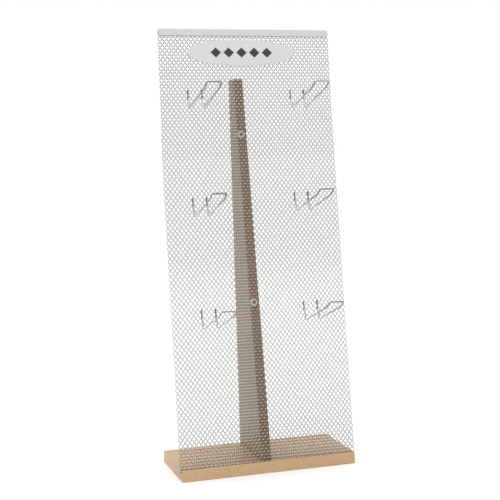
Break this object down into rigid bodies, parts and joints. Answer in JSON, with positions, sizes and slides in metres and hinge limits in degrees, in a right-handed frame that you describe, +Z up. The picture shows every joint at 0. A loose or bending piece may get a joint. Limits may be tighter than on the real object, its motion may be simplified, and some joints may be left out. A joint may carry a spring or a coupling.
{
  "type": "hook display stand",
  "caption": "Leaning mesh panel on a wooden base with a tapered upright, carrying removable double-prong wire hooks for hanging goods on a counter.",
  "frame": {"origin": "middle of the base board's underside, on the surface that the stand rests on", "axes": "+X along the base board's width, to the right seen from the front; -Y towards the front, where the hooks point; +Z up"},
  "size_m": [0.3159, 0.2208, 0.7399],
  "materials": {
    "oak": "satin clear finish",
    "brown_wood": "matt stain",
    "dowel_wood": "bare",
    "mesh_metal": "plain mill finish",
    "grey_metal": "satin grey",
    "sign_face": "satin pale grey",
    "tape_foam": "closed-cell foam",
    "zinc": "zinc plated",
    "hook_steel": "bright plated wire"
  },
  "bodies": {
    "stand": {"base_board": "oak", "upright": "brown_wood", "mesh_panel": "mesh_metal", "top_edge_profile": "grey_metal", "sign_plate": "sign_face", "sign_tape_left": "tape_foam", "sign_tape_right": "tape_foam", "panel_screw_upper": "zinc", "panel_screw_lower": "zinc", "panel_washer_upper": "zinc", "panel_washer_lower": "zinc", "base_screw_front": "zinc", "base_screw_rear": "zinc", "dowel_front": "dowel_wood", "dowel_rear": "dowel_wood"},
    "hook_upper_left": {"hook_upper_left": "hook_steel"},
    "hook_upper_right": {"hook_upper_right": "hook_steel"},
    "hook_middle_left": {"hook_middle_left": "hook_steel"},
    "hook_middle_right": {"hook_middle_right": "hook_steel"},
    "hook_lower_left": {"hook_lower_left": "hook_steel"},
    "hook_lower_right": {"hook_lower_right": "hook_steel"}
  },
  "joints": [
    {"name": "lift_upper_left", "type": "hinge", "parent": "stand", "child": "hook_upper_left", "pos_m": [-0.07995, 0.03362, 0.6217], "axis": [-0.9999, 0.0024, 0.0146], "range_deg": [0, 60]},
    {"name": "lift_upper_right", "type": "hinge", "parent": "stand", "child": "hook_upper_right", "pos_m": [0.10013, 0.03319, 0.61906], "axis": [-0.9999, 0.0024, 0.0146], "range_deg": [0, 60]},
    {"name": "lift_middle_left", "type": "hinge", "parent": "stand", "child": "hook_middle_left", "pos_m": [-0.08524, 0.00464, 0.44279], "axis": [-0.9999, 0.0024, 0.0146], "range_deg": [0, 60]},
    {"name": "lift_middle_right", "type": "hinge", "parent": "stand", "child": "hook_middle_right", "pos_m": [0.09361, 0.00501, 0.44511], "axis": [-0.9999, 0.0024, 0.0146], "range_deg": [0, 60]},
    {"name": "lift_lower_left", "type": "hinge", "parent": "stand", "child": "hook_lower_left", "pos_m": [-0.08421, -0.02515, 0.25885], "axis": [-0.9999, 0.0024, 0.0146], "range_deg": [0, 60]},
    {"name": "lift_lower_right", "type": "hinge", "parent": "stand", "child": "hook_lower_right", "pos_m": [0.09465, -0.02478, 0.26117], "axis": [-0.9999, 0.0024, 0.0146], "range_deg": [0, 60]}
  ]
}
